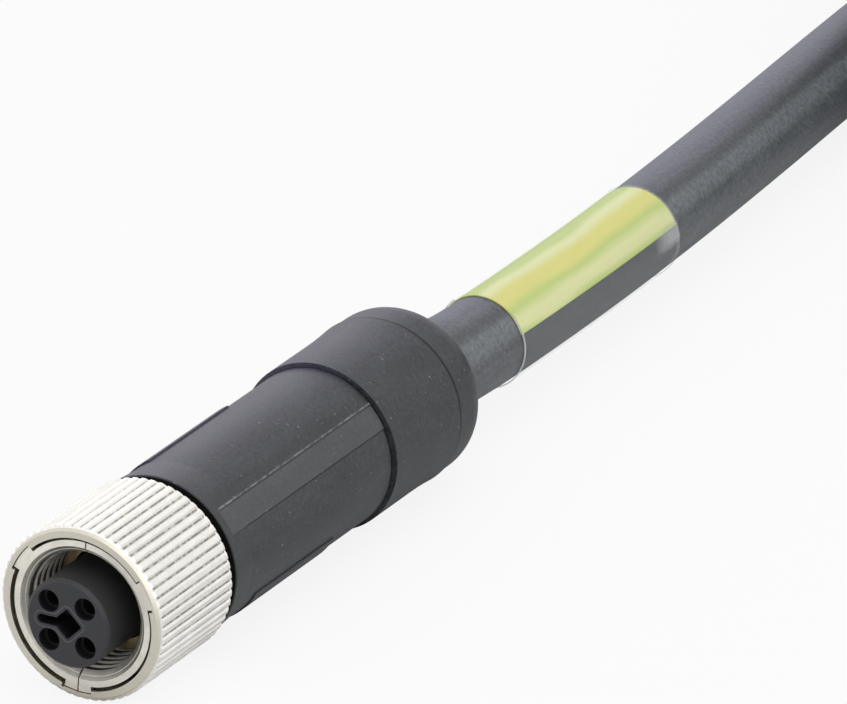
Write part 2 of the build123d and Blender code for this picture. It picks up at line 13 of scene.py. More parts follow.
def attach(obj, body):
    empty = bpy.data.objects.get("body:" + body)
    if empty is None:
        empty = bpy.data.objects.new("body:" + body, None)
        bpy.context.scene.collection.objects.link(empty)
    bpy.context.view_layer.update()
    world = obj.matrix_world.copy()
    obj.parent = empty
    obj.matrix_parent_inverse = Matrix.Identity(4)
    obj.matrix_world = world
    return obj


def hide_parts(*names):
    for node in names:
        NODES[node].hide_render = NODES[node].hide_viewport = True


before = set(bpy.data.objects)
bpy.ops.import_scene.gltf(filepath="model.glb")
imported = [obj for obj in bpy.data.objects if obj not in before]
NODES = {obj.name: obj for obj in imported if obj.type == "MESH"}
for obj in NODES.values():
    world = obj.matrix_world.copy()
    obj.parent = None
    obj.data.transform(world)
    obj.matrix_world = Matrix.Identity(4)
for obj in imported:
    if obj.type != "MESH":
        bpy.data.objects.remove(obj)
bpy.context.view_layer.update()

bl_info = {
    "name": "Round sensor connector",
    "version": (1, 0, 0),
    "blender": (4, 5, 0),
    "location": "3D View > Sidebar > Connector",
    "description": "Cable, marking, thread and finishes of a round sensor connector",
    "category": "Object",
}

MM = 0.001
EDGE_ANGLE = 30
WELD_DISTANCE = 1e-7
LEAST_EDGE = 1e-8
BODY = "connector"
RING_BODY = "threaded_ring"

# Photograph
IMAGE_WIDTH = 847
SENSOR_MM = 36.0
FOCAL_PIXELS = 12000
CAMERA_AZIMUTH = 29.9
CAMERA_ELEVATION = 23.76
CAMERA_DISTANCE = 1.0435
CAMERA_AIM = (0.0297, 0.02277)
CAMERA_CLIP = (0.05, 20)
RING_PLANE_Y = 0.0025

# Cable route, in the points of the solid model
FLOOR_Z = -0.00825
CABLE_SAG = 0.001
ROUTE = [
    (0, 0.044, 0),
    (0, 0.0635, 0),
    (0, 0.0695, -CABLE_SAG),
    (0, 0.106, -CABLE_SAG),
    (-0.0068, 0.172, -0.0033),
    (-0.0068, 0.194, -0.0033),
]
BEND_START_Y = 0.088
BEND_END_Y = 0.19

# Hank of the put-away length: long turns, round at both ends, in two columns and three layers
HANK_NEAR_Y = 0.18
HANK_FAR_Y = 0.248
OUTER_FOLD_R = 0.0348
HANK_MIDDLE_X = ROUTE[-1][0] + OUTER_FOLD_R
HANK_END_RUN = 0.002
FOLD_STEP_ANGLE = 15
CROSSING_ANGLE = 104
CROSSING_LAG_ANGLE = 6
CROSSING_BULGE = 0.002

# Label and clear sleeve
LABEL_START_Y = 0.0728
LABEL_END_Y = 0.1027
LABEL_ANGLES = (20, 180)
LABEL_SIDES = 40
LABEL_FEWEST_POINTS = 8
TUBE_SIDES = 72
SLEEVE_RIM = 0.0001
SLEEVE_GAP = 0.00003
SLEEVE_ALPHA = 0.05
SLEEVE_CUT_ALPHAS = (0.75, 0.25)

# Insulation of the cores
CORE_COLOURS = (
    ("brown", "#5A3A26"), ("white", "#D9D8D2"), ("blue", "#2F5C9E"), ("black", "#2B2B2D"))

# Thread, and the split of its ring
THREAD_START_Y = 0.00284
THREAD_END_Y = 0.0088
SPLIT_ANGLES = (-94, 86)
SPLIT_HALF_ANGLE = 0.8
THREAD_SKIN = 0.00005
THREAD_SAMPLES_PER_PITCH = 16
THREAD_STEPS_PER_HALF = 90
THREAD_FLANK_SLOPE = 2.6
THREAD_GROOVE_FLAT = 0.2

# Washer in front of the seal: its two faces and its edges
WASHER_FACES_Y = (0.0078, 0.00796)
WASHER_BORE_R = 0.00425
WASHER_R = 0.00535

# Fine line round the insert's recess and its slot arm
LINE_REACH = 0.00191
LINE_CORNER_PLACE = 0.0012
LINE_CORNER_R = 0.0005
LINE_ARM_HALF_WIDTH = 0.000725
LINE_ARM_END_X = -0.002575
LINE_WIDTH = 0.00012
LINE_HEIGHT = 0.00003
LINE_ROOT = 0.00001
LINE_STEP_ANGLE = 15

# Finishes, painted shade and painted highlights: where they start and end on their pieces, in
# millimetres out from the axis or along Y, or in degrees round the piece
KNURL_GROOVE_R_MM = (7.9, 8.06)
KNURL_Y_MM = (2.85, 14.1)
TURNED_EDGE_R_MM = (0.0, 8.0)
TURNED_EDGE_Y_MM = (2.0, 2.85)
THREAD_GROOVE_R_MM = (5.68, 6.2)
THREAD_GROOVE_SHADE_Y_MM = (3.5, 8.9)
# Painted shade in the insert's openings and round its outside
INSERT_OUTSIDE_R_MM = (4.05, 4.15)
INSERT_DARK_DEPTH_MM = (0.03, 0.4)
PANEL_Y_MM = (16.5, 43.2)
PANEL_FIELD_ANGLES = (26.4, 44.7)
PANEL_LOW_LINE_ANGLES = (26.2, 26.6)
PANEL_TOP_LINE_ANGLES = (44.5, 44.8)
PANEL_HIGHLIGHT_ANGLES = (45.9, 46.3)
PANEL_DARK_BAND_ANGLES = (50.0, 54.0)
# Painted shade in the gaps of the grip
RIM_GAP_Y_MM = (12.0, 15.56)
STEP_GAP_Y_MM = (43.22, 43.36)
SEAM_GAP_Y_MM = (54.5, 54.9)
# Painted sheen on the upper side of the grip and the cable
TOP_SHEEN_ANGLES = (100, 170)
TOP_SHEEN_EDGE_ANGLE = 45
# Painted highlight and a dark band along the cable
JACKET_HIGHLIGHT_ANGLES = (32.0, 46.0)
JACKET_DARK_BAND_ANGLES = (58.0, 64.0)
FILM_ANGLES = (15.0, 140.0)
FILM_DRIFT_ANGLE = 16.0
# Painted reflection patch on the clear sleeve
REFLECTION_PATCH_ANGLES = (6.0, 18.0)
REFLECTION_PATCH_Y_MM = (101.0, 103.0)
REFLECTION_PATCH_ALPHA = 0.32

# Sizes of the patterns in the finishes, in millimetres. Real grains, powder and plating clouds
# are finer, and are drawn coarser so that they show.
METAL_CLOUD_MM = 1.6
METAL_GRAIN_MM = 0.22
PATCHINESS_MM = 0.5
DRAW_LINE_MM = 0.4
POLYMER_GRAIN_MM = 0.3
INSERT_GRAIN_MM = 0.16
POLYURETHANE_GRAIN_MM = 0.42
DUST_MM = 0.36
MOTTLE_MM = 3.0
HIGHLIGHT_BREAK_MM = 0.9
STREAK_MM = 1.1
DYE_DRIFT_MM = 7.0
HAZE_MM = 3.0
PILE_MM = 0.18

# Stage
FLOOR_HALF = 4.0
WORLD_STRENGTH = 0.55

# Lamps: place, aim and side
KEY_LAMP = ((0.25, -0.1, 0.9), (0, 0.05, 0), 0.9)
FILL_LAMP = ((0.5, -0.8, 0.25), (0, 0.03, 0), 0.6)
RIM_LAMP = ((-0.62, 0.95, 0.4), (0, 0.05, 0), 0.6)


def linear(hex_colour):
    """Linear RGBA of an sRGB hex colour."""
    values = [int(hex_colour[i:i + 2], 16) / 255 for i in (1, 3, 5)]
    return [v / 12.92 if v <= 0.04045 else ((v + 0.055) / 1.055) ** 2.4 for v in values] + [1.0]


def shaded(colour, factor):
    """Colour with its light scaled."""
    return [value * factor for value in colour[:3]] + [1.0]


def add_node(tree, kind, inputs=None, result=0, stops=(), **settings):
    """Adds a node with its settings and links, and gives the output asked for.

    inputs maps a socket to a value, or to the output that feeds it. stops are a colour ramp's
    (place, linear colour) pairs.
    """
    node = tree.nodes.new(kind)
    for name, value in settings.items():
        setattr(node, name, value)
    for socket, value in (inputs or {}).items():
        if isinstance(value, bpy.types.NodeSocket):
            tree.links.new(value, node.inputs[socket])
        else:
            node.inputs[socket].default_value = value
    if stops:
        elements = node.color_ramp.elements
        while len(elements) < len(stops):
            elements.new(1.0)
        for element, (place, colour) in zip(elements, stops):
            element.position = place
            element.color = colour
    return node.outputs[result] if len(node.outputs) else node


def new_material(name):
    """Empty material: the material, its node tree, and the place on the piece in millimetres."""
    material = bpy.data.materials.new(name)
    material.use_nodes = True
    tree = material.node_tree
    tree.nodes.clear()
    place = add_node(tree, "ShaderNodeTexCoord", result="Object")
    place = add_node(tree, "ShaderNodeMapping", {"Vector": place, "Scale": [1 / MM] * 3})
    return material, tree, place


def shade(tree, sockets):
    """Principled shader with these sockets, as the material's surface."""
    shader = add_node(tree, "ShaderNodeBsdfPrincipled", sockets)
    add_node(tree, "ShaderNodeOutputMaterial", {"Surface": shader})


def round_place(tree, place, middle_z_mm=0.0):
    """Angle in degrees round a line along Y, distance from it and place along it, in mm."""
    x, y, z = (add_node(tree, "ShaderNodeSeparateXYZ", {"Vector": place}, axis) for axis in "XYZ")
    z = add_node(tree, "ShaderNodeMath", {0: z, 1: middle_z_mm}, operation="SUBTRACT")
    angle = add_node(tree, "ShaderNodeMath", {0: z, 1: x}, operation="ARCTAN2")
    degrees = add_node(tree, "ShaderNodeMath", {0: angle}, operation="DEGREES")
    x_squared = add_node(tree, "ShaderNodeMath", {0: x, 1: 2.0}, operation="POWER")
    squares = add_node(tree, "ShaderNodeMath", {0: z, 1: z, 2: x_squared}, operation="MULTIPLY_ADD")
    return degrees, add_node(tree, "ShaderNodeMath", {0: squares}, operation="SQRT"), y


def unbent(tree, place):
    """Place as it would be if the cable did not bend behind the label."""
    y = add_node(tree, "ShaderNodeSeparateXYZ", {"Vector": place}, "Y")
    share = add_node(
        tree, "ShaderNodeMapRange",
        {"Value": y, "From Min": BEND_START_Y / MM, "From Max": BEND_END_Y / MM},
        interpolation_type="SMOOTHSTEP")
    back = (-ROUTE[-1][0] / MM, 0, (-CABLE_SAG - ROUTE[-1][2]) / MM)
    return add_node(
        tree, "ShaderNodeVectorMath", {0: share, 1: back, 2: place}, operation="MULTIPLY_ADD")


def band(tree, value, limits, edge):
    """1 where a value lies between two limits, with soft edges outside them."""
    start, end = limits
    rise = add_node(tree, "ShaderNodeMapRange", {
        "Value": value, "From Min": start - edge, "From Max": start, "To Min": 0.0, "To Max": 1.0})
    fall = add_node(tree, "ShaderNodeMapRange", {
        "Value": value, "From Min": end, "From Max": end + edge, "To Min": 1.0, "To Max": 0.0})
    return add_node(tree, "ShaderNodeMath", {0: rise, 1: fall}, operation="MULTIPLY")


def largest(tree, values):
    """Largest of several values at each place."""
    result = values[0]
    for value in values[1:]:
        result = add_node(tree, "ShaderNodeMath", {0: result, 1: value}, operation="MAXIMUM")
    return result


def patchy(tree, place, share):
    """Share that a noise thins out in places."""
    patches = add_node(tree, "ShaderNodeTexNoise", {
        "Vector": place, "Scale": 1 / PATCHINESS_MM, "Detail": 3.0})
    patches = add_node(tree, "ShaderNodeMapRange", {
        "Value": patches, "From Min": 0.35, "From Max": 0.55, "To Min": 0.45, "To Max": 1.0})
    return add_node(tree, "ShaderNodeMath", {0: share, 1: patches}, operation="MULTIPLY")


def painted_top_sheen(tree, angle, colour, sheen_colour, amount):
    """Colour that turns to a painted sheen on the upper side, by the angle round it."""
    upper_side = band(tree, angle, TOP_SHEEN_ANGLES, TOP_SHEEN_EDGE_ANGLE)
    share = add_node(tree, "ShaderNodeMath", {0: upper_side, 1: amount}, operation="MULTIPLY")
    return add_node(tree, "ShaderNodeMix", {0: share, 6: colour, 7: sheen_colour}, 2, data_type="RGBA")


def powdered(tree, place, colour, speck, amount):
    """Colour with sparse specks of another one, such as dust and bright grains."""
    spots = add_node(tree, "ShaderNodeTexNoise", {
        "Vector": place, "Scale": 1 / DUST_MM, "Detail": 1.0})
    share = add_node(tree, "ShaderNodeMapRange", {
        "Value": spots, "From Min": 0.72, "From Max": 0.82, "To Min": 0.0, "To Max": amount})
    return add_node(tree, "ShaderNodeMix", {0: share, 6: colour, 7: speck}, 2, data_type="RGBA")


def grained(tree, place, colour, size_mm, depth):
    """Colour that a fine eroded grain makes lighter and darker, and the grain."""
    grain = add_node(tree, "ShaderNodeTexNoise", {
        "Vector": place, "Scale": 1 / size_mm, "Detail": 4.0, "Roughness": 0.7})
    light = add_node(tree, "ShaderNodeMapRange", {
        "Value": grain, "From Min": 0.35, "From Max": 0.65,
        "To Min": 1 - depth, "To Max": 1 + depth})
    mixed = add_node(
        tree, "ShaderNodeMix", {0: 1.0, 6: colour, 7: light}, 2,
        data_type="RGBA", blend_type="MULTIPLY")
    return mixed, grain


def clouded_metal(tree, place, colour, low, roughness):
    """Sockets of a bright metal that is clouded between two colours, and its grain."""
    cloud = add_node(tree, "ShaderNodeTexNoise", {
        "Vector": place, "Scale": 1 / METAL_CLOUD_MM, "Detail": 3.0})
    base = add_node(tree, "ShaderNodeValToRGB", {"Fac": cloud}, stops=[
        (0.35, low), (0.65, colour)])
    base, grain = grained(tree, place, base, METAL_GRAIN_MM, 0.05)
    rough = add_node(tree, "ShaderNodeMapRange", {
        "Value": grain, "To Min": roughness * 0.7, "To Max": roughness * 1.3})
    return {"Base Color": base, "Metallic": 1.0, "Roughness": rough}, grain


def turned_metal(name, colour, low, roughness):
    """Turned brass or copper, plated or bare: bright and smooth, softly clouded by its finish."""
    material, tree, place = new_material(name)
    sockets, _ = clouded_metal(tree, place, colour, low, roughness)
    shade(tree, sockets)
    return material


def knurled_brass(name, colour, low):
    """Brass, knurled, its front edge turned, then plated with satin nickel.

    Painted shade makes the grooves grey, broken up by a noise, and the turned edge looks warmer.
    """
    material, tree, place = new_material(name)
    sockets, grain = clouded_metal(tree, place, colour, low, 0.34)
    sockets["Normal"] = add_node(tree, "ShaderNodeBump", {
        "Height": grain, "Strength": 0.2, "Distance": 0.02 * MM})
    _, radius, along = round_place(tree, place)
    grooves = patchy(tree, place, band(tree, radius, KNURL_GROOVE_R_MM, 0.05))
    grooves = add_node(tree, "ShaderNodeMath", {
        0: grooves, 1: band(tree, along, KNURL_Y_MM, 0.05)}, operation="MULTIPLY")
    edge = add_node(tree, "ShaderNodeMath", {
        0: band(tree, radius, TURNED_EDGE_R_MM, 0.06),
        1: band(tree, along, TURNED_EDGE_Y_MM, 0.05)}, operation="MULTIPLY")
    # Painted shade in the knurl's grooves
    base = add_node(
        tree, "ShaderNodeMix", {0: grooves, 6: sockets["Base Color"], 7: linear("#8E8C85")}, 2,
        data_type="RGBA")
    sockets["Base Color"] = add_node(
        tree, "ShaderNodeMix", {0: edge, 6: base, 7: linear("#DAD5C8")}, 2, data_type="RGBA")
    shade(tree, sockets)
    return material


def threaded_brass(name, colour, low):
    """Brass with a cut thread, plated with satin nickel: white crests, and painted shade in the
    grooves.
    """
    material, tree, place = new_material(name)
    sockets, _ = clouded_metal(tree, place, colour, low, 0.45)
    _, radius, along = round_place(tree, place)
    grooves = add_node(tree, "ShaderNodeMath", {
        0: band(tree, radius, THREAD_GROOVE_R_MM, 0.08),
        1: band(tree, along, THREAD_GROOVE_SHADE_Y_MM, 0.5)}, operation="MULTIPLY")
    # Painted shade: the grooves turn dark and lose their metal gloss
    sockets["Base Color"] = add_node(
        tree, "ShaderNodeMix", {0: grooves, 6: sockets["Base Color"], 7: linear("#1E1A17")}, 2,
        data_type="RGBA")
    sockets["Metallic"] = add_node(
        tree, "ShaderNodeMath", {0: 1.0, 1: grooves}, operation="SUBTRACT")
    shade(tree, sockets)
    return material


def spring_steel(name):
    """Spring steel, drawn flat and bright: cool grey with fine draw lines."""
    material, tree, place = new_material(name)
    stretched = add_node(tree, "ShaderNodeMapping", {"Vector": place, "Scale": (1, 8, 1)})
    lines = add_node(tree, "ShaderNodeTexNoise", {"Vector": stretched, "Scale": 1 / DRAW_LINE_MM})
    rough = add_node(tree, "ShaderNodeMapRange", {"Value": lines, "To Min": 0.25, "To Max": 0.4})
    shade(tree, {"Base Color": linear("#9EA0A3"), "Metallic": 1.0, "Roughness": rough})
    return material


def moulded_polymer(name, colour, roughness, grain_mm=POLYMER_GRAIN_MM):
    """Moulded engineering polymer or rubber: even colour with a fine eroded grain."""
    material, tree, place = new_material(name)
    base, grain = grained(tree, place, colour, grain_mm, 0.12)
    rough = add_node(tree, "ShaderNodeMapRange", {
        "Value": grain, "To Min": roughness - 0.08, "To Max": roughness + 0.1})
    relief = add_node(tree, "ShaderNodeBump", {
        "Height": grain, "Strength": 0.2, "Distance": 0.03 * MM})
    shade(tree, {"Base Color": base, "Roughness": rough, "IOR": 1.5, "Normal": relief})
    return material


def moulded_insert(name, colour):
    """Moulded polyamide, glass filled: a dull grey face.

    Painted shade turns it black down its deep openings, and less dark round its outside.
    """
    material, tree, place = new_material(name)
    base, grain = grained(tree, place, colour, INSERT_GRAIN_MM, 0.1)
    _, radius, depth = round_place(tree, place)
    # Painted shade, deeper in the openings than round the outside
    darkest = add_node(tree, "ShaderNodeMapRange", {
        "Value": radius, "From Min": INSERT_OUTSIDE_R_MM[0], "From Max": INSERT_OUTSIDE_R_MM[1],
        "To Min": 0.95, "To Max": 0.6})
    amount = add_node(tree, "ShaderNodeMapRange", {
        "Value": depth, "From Min": INSERT_DARK_DEPTH_MM[0], "From Max": INSERT_DARK_DEPTH_MM[1],
        "To Min": 0.0, "To Max": darkest})
    base = add_node(
        tree, "ShaderNodeMix", {0: amount, 6: base, 7: linear("#080809")}, 2, data_type="RGBA")
    relief = add_node(tree, "ShaderNodeBump", {
        "Height": grain, "Strength": 0.2, "Distance": 0.02 * MM})
    shade(tree, {"Base Color": base, "Roughness": 0.5, "IOR": 1.53, "Normal": relief})
    return material


def moulded_grip(name, colour):
    """Polyurethane moulded in a spark-eroded tool: matte, sandy and mottled, with dust on it.

    The seam, the step and the rim behind the sleeve are gaps darkened with painted shade, and
    thin lines of painted shade edge the marking panel. Its field is painted a little lighter as a
    sheen, a broken painted highlight runs above it, and a soft dark streak runs above that. Its
    upper side turns violet by a painted sheen.
    """
    material, tree, place = new_material(name)
    angle, _, along = round_place(tree, place)
    stretched = add_node(tree, "ShaderNodeMapping", {"Vector": place, "Scale": (1, 0.35, 1)})
    cloud = add_node(tree, "ShaderNodeTexNoise", {
        "Vector": stretched, "Scale": 1 / MOTTLE_MM, "Detail": 5.0, "Roughness": 0.65})
    base = add_node(tree, "ShaderNodeValToRGB", {"Fac": cloud}, stops=[
        (0.35, shaded(colour, 0.76)), (0.65, shaded(colour, 1.2))])
    # Painted sheen: the upper side turns violet
    base = painted_top_sheen(tree, angle, base, linear("#55526A"), 0.5)
    base, grain = grained(tree, place, base, POLYURETHANE_GRAIN_MM, 0.4)
    base = powdered(tree, place, base, linear("#A2A3A6"), 0.6)
    # Painted sheen on the panel's field, and a broken painted highlight above it
    on_panel = band(tree, along, PANEL_Y_MM, 0.1)
    field = add_node(tree, "ShaderNodeMath", {
        0: band(tree, angle, PANEL_FIELD_ANGLES, 0.1), 1: 0.1}, operation="MULTIPLY")
    broken = add_node(tree, "ShaderNodeTexNoise", {
        "Vector": place, "Scale": 1 / HIGHLIGHT_BREAK_MM, "Detail": 2.0})
    broken = add_node(tree, "ShaderNodeMapRange", {
        "Value": broken, "From Min": 0.4, "From Max": 0.6, "To Min": 0.15, "To Max": 0.7})
    painted_highlight = add_node(tree, "ShaderNodeMath", {
        0: band(tree, angle, PANEL_HIGHLIGHT_ANGLES, 0.6), 1: broken}, operation="MULTIPLY")
    light = add_node(tree, "ShaderNodeMath", {
        0: largest(tree, [painted_highlight, field]), 1: on_panel}, operation="MULTIPLY")
    base = add_node(
        tree, "ShaderNodeMix", {0: light, 6: base, 7: linear("#A5A6A8")}, 2, data_type="RGBA")
    # A soft dark band by the angle round it
    dark_band = add_node(tree, "ShaderNodeMath", {
        0: band(tree, angle, PANEL_DARK_BAND_ANGLES, 3.5), 1: 0.25}, operation="MULTIPLY")
    # Painted shade along the panel's edges, and the dark band
    lines = largest(tree, [
        band(tree, angle, PANEL_TOP_LINE_ANGLES, 0.3),
        band(tree, angle, PANEL_LOW_LINE_ANGLES, 0.3), dark_band])
    lines = add_node(tree, "ShaderNodeMath", {0: lines, 1: on_panel}, operation="MULTIPLY")
    lines = add_node(tree, "ShaderNodeMath", {0: lines, 1: 0.75}, operation="MULTIPLY")
    # Painted shade in the rim, step and seam gaps
    gaps = largest(tree, [
        lines, band(tree, along, RIM_GAP_Y_MM, 0.04), band(tree, along, STEP_GAP_Y_MM, 0.02),
        band(tree, along, SEAM_GAP_Y_MM, 0.06)])
    base = add_node(
        tree, "ShaderNodeMix", {0: gaps, 6: base, 7: linear("#0A0A0B")}, 2, data_type="RGBA")
    rough = add_node(tree, "ShaderNodeMapRange", {"Value": grain, "To Min": 0.34, "To Max": 0.6})
    relief = add_node(tree, "ShaderNodeBump", {
        "Height": grain, "Strength": 0.4, "Distance": 0.03 * MM})
    shade(tree, {"Base Color": base, "Roughness": rough, "IOR": 1.5, "Normal": relief})
    return material


def extruded_jacket(name, colour):
    """Extruded polyurethane jacket: matte, with faint streaks along it and a trace of powder.

    A soft dark streak and a painted highlight run along one side, by the angle round it. Its
    upper side turns violet by a painted sheen. Under the clear sleeve it is painted darker, as
    shade.
    """
    material, tree, place = new_material(name)
    stretched = add_node(tree, "ShaderNodeMapping", {"Vector": place, "Scale": (1, 0.04, 1)})
    streaks = add_node(tree, "ShaderNodeTexNoise", {
        "Vector": stretched, "Scale": 1 / STREAK_MM, "Detail": 3.0})
    base = add_node(tree, "ShaderNodeValToRGB", {"Fac": streaks}, stops=[
        (0.35, shaded(colour, 0.88)), (0.65, shaded(colour, 1.12))])
    angle, _, along = round_place(tree, unbent(tree, place), -CABLE_SAG / MM)
    # Painted sheen: the upper side turns violet
    base = painted_top_sheen(tree, angle, base, linear("#5C5976"), 0.6)
    # Painted highlight along one side
    painted_highlight = add_node(tree, "ShaderNodeMath", {
        0: band(tree, angle, JACKET_HIGHLIGHT_ANGLES, 10.0), 1: 0.8}, operation="MULTIPLY")
    base = add_node(
        tree, "ShaderNodeMix", {0: painted_highlight, 6: base, 7: shaded(colour, 1.6)}, 2, data_type="RGBA")
    dark_band = add_node(tree, "ShaderNodeMath", {
        0: band(tree, angle, JACKET_DARK_BAND_ANGLES, 9.0), 1: 0.6}, operation="MULTIPLY")
    # Painted shade under the clear sleeve
    covered = band(tree, along, (LABEL_START_Y / MM, LABEL_END_Y / MM), 0.1)
    dark = largest(tree, [dark_band, covered])
    base = add_node(
        tree, "ShaderNodeMix", {0: dark, 6: base, 7: shaded(colour, 0.5)}, 2, data_type="RGBA")
    base, grain = grained(tree, place, base, POLYURETHANE_GRAIN_MM, 0.3)
    base = powdered(tree, place, base, linear("#A8A9AB"), 0.5)
    rough = add_node(tree, "ShaderNodeMapRange", {"Value": grain, "To Min": 0.38, "To Max": 0.58})
    relief = add_node(tree, "ShaderNodeBump", {
        "Height": grain, "Strength": 0.25, "Distance": 0.02 * MM})
    shade(tree, {"Base Color": base, "Roughness": rough, "IOR": 1.5, "Normal": relief})
    return material


def dyed_film(name, green, yellow, pale):
    """Polyester film, unevenly dyed yellow-green: smooth, in soft bands along the cable. Its pale
    bands are a painted reflection of the lamps on the glossy sleeve.
    """
    material, tree, place = new_material(name)
    angle, _, _ = round_place(tree, place, -CABLE_SAG / MM)
    stretched = add_node(tree, "ShaderNodeMapping", {"Vector": place, "Scale": (1, 0.5, 1)})
    drift = add_node(tree, "ShaderNodeTexNoise", {
        "Vector": stretched, "Scale": 1 / DYE_DRIFT_MM, "Detail": 1.0})
    drift = add_node(tree, "ShaderNodeMapRange", {
        "Value": drift, "To Min": -FILM_DRIFT_ANGLE, "To Max": FILM_DRIFT_ANGLE})
    moved = add_node(tree, "ShaderNodeMath", {0: angle, 1: drift}, operation="ADD")
    across = add_node(tree, "ShaderNodeMapRange", {
        "Value": moved, "From Min": FILM_ANGLES[0], "From Max": FILM_ANGLES[1],
        "To Min": 0.0, "To Max": 1.0})
    # The pale stops are a painted reflection
    base = add_node(tree, "ShaderNodeValToRGB", {"Fac": across}, stops=[
        (0.06, green), (0.13, pale), (0.21, pale), (0.3, green), (0.38, yellow), (0.5, yellow),
        (0.58, pale), (0.62, pale), (0.7, green)])
    shade(tree, {
        "Base Color": base, "Roughness": 0.5, "IOR": 1.5,
        "Coat Weight": 0.15, "Coat Roughness": 0.25})
    return material


def clear_vinyl(name, colour, alpha, roughness):
    """Extruded clear vinyl: almost invisible but for its gloss, and cloudy white where it is cut.

    It stands off the cable at the label's far corner, and a painted reflection shows there as a
    light patch.
    """
    material, tree, place = new_material(name)
    angle, _, along = round_place(tree, place, -CABLE_SAG / MM)
    # Painted reflection: a light patch near the label's far corner
    reflection_patch = add_node(tree, "ShaderNodeMath", {
        0: band(tree, angle, REFLECTION_PATCH_ANGLES, 12.0),
        1: band(tree, along, REFLECTION_PATCH_Y_MM, 3.0)}, operation="MULTIPLY")
    seen = add_node(tree, "ShaderNodeMapRange", {
        "Value": reflection_patch, "To Min": alpha, "To Max": max(alpha, REFLECTION_PATCH_ALPHA)})
    haze = add_node(tree, "ShaderNodeTexNoise", {
        "Vector": place, "Scale": 1 / HAZE_MM, "Detail": 2.0})
    rough = add_node(tree, "ShaderNodeMapRange", {
        "Value": haze, "To Min": roughness - 0.04, "To Max": roughness + 0.04})
    shade(tree, {"Base Color": colour, "Roughness": rough, "IOR": 1.5, "Alpha": seen})
    return material


def hook_and_loop(name):
    """Nylon hook-and-loop tape: black, with a low brushed pile."""
    material, tree, place = new_material(name)
    pile = add_node(tree, "ShaderNodeTexNoise", {
        "Vector": place, "Scale": 1 / PILE_MM, "Detail": 5.0, "Roughness": 0.8})
    base = add_node(tree, "ShaderNodeValToRGB", {"Fac": pile}, stops=[
        (0.35, linear("#17171A")), (0.7, linear("#3B3B40"))])
    relief = add_node(tree, "ShaderNodeBump", {
        "Height": pile, "Strength": 0.6, "Distance": 0.1 * MM})
    shade(tree, {
        "Base Color": base, "Roughness": 0.9, "IOR": 1.53, "Sheen Weight": 0.3, "Normal": relief})
    return material


def dress(material, *names):
    """Gives CAD nodes a material."""
    for name in names:
        for material_slot in NODES[name].material_slots:
            material_slot.material = material


def new_object(name, bm, materials, body):
    """Smooth mesh object with sharp edges from a bmesh, with its materials, riding on a body."""
    bmesh.ops.remove_doubles(bm, verts=bm.verts, dist=WELD_DISTANCE)
    bmesh.ops.dissolve_degenerate(bm, edges=bm.edges, dist=LEAST_EDGE)
    bmesh.ops.recalc_face_normals(bm, faces=bm.faces)
    mesh = bpy.data.meshes.new(name)
    for face in bm.faces:
        face.smooth = True
    bm.to_mesh(mesh)
    bm.free()
    mesh.set_sharp_from_angle(angle=math.radians(EDGE_ANGLE))
    for material in materials:
        mesh.materials.append(material)
    piece = bpy.data.objects.new(name, mesh)
    bpy.context.scene.collection.objects.link(piece)
    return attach(piece, body)


def grid_faces(bm, rows, closed=False):
    """Quads between rows of vertices; closed joins the ends of each row."""
    for row, following in zip(rows, rows[1:]):
        count = len(row)
        for i in range(count if closed else count - 1):
            j = (i + 1) % count
            bm.faces.new((row[i], row[j], following[j], following[i]))


def eased(share):
    """Share from 0 to 1, eased at both ends."""
    return (1 - math.cos(math.pi * min(max(share, 0.0), 1.0))) / 2


def fold_place(radius, angle):
    """Place across and up on a half-round fold, or down the straight side at either end of it.

    The spline runs inside its points, so on the fold they stand a little outside the radius.
    """
    if 0 < angle < 180:
        reach = radius / (0.75 + 0.25 * math.cos(math.radians(FOLD_STEP_ANGLE)))
        return reach * math.cos(math.radians(angle)), reach * math.sin(math.radians(angle))
    run = radius * math.radians(max(-angle, angle - 180))
    return (radius if angle <= 0 else -radius), -run


def hank_points(sizes):
    """Control points of the put-away turns, which follow the end of the route."""
    outer, inner = OUTER_FOLD_R, OUTER_FOLD_R - sizes.diameter
    low, middle, top = (ROUTE[-1][2] + layer * sizes.diameter for layer in range(3))
    places = [
        (outer, low), (inner, low), (inner, middle), (outer, middle), (outer, top), (inner, top)]
    last = len(places) - 1
    fold_angles = range(-FOLD_STEP_ANGLE, 181 + FOLD_STEP_ANGLE, FOLD_STEP_ANGLE)
    points = []
    for turn, (radius, height) in enumerate(places):
        for angle in fold_angles if turn < last else fold_angles[:-1]:
            across, up = fold_place(radius, angle)
            points.append((HANK_MIDDLE_X - across, HANK_FAR_Y + up, height))
        if turn == last:
            break
        next_radius, next_height = places[turn + 1]
        start_angle = CROSSING_LAG_ANGLE * (last - 1 - turn)
        for angle in fold_angles:
            share = eased((angle - start_angle) / CROSSING_ANGLE)
            reach = radius + (next_radius - radius) * share
            if radius == next_radius == outer:
                reach += CROSSING_BULGE * math.sin(math.pi * share)
            across, up = fold_place(reach, angle)
            rise = (next_height - height) * share
            points.append((HANK_MIDDLE_X + across, HANK_NEAR_Y - up, height + rise))
    points.append((HANK_MIDDLE_X + inner, HANK_FAR_Y - HANK_END_RUN, top))
    return points


def centre_line(cable):
    """Points along the cable's own spline."""
    curve = cable.data.copy()
    curve.bevel_depth = 0
    bare = bpy.data.objects.new("centre_line", curve)
    mesh = bpy.data.meshes.new_from_object(bare)
    points = [vertex.co.copy() for vertex in mesh.vertices]
    bpy.data.objects.remove(bare)
    bpy.data.meshes.remove(mesh)
    bpy.data.curves.remove(curve)
    return points


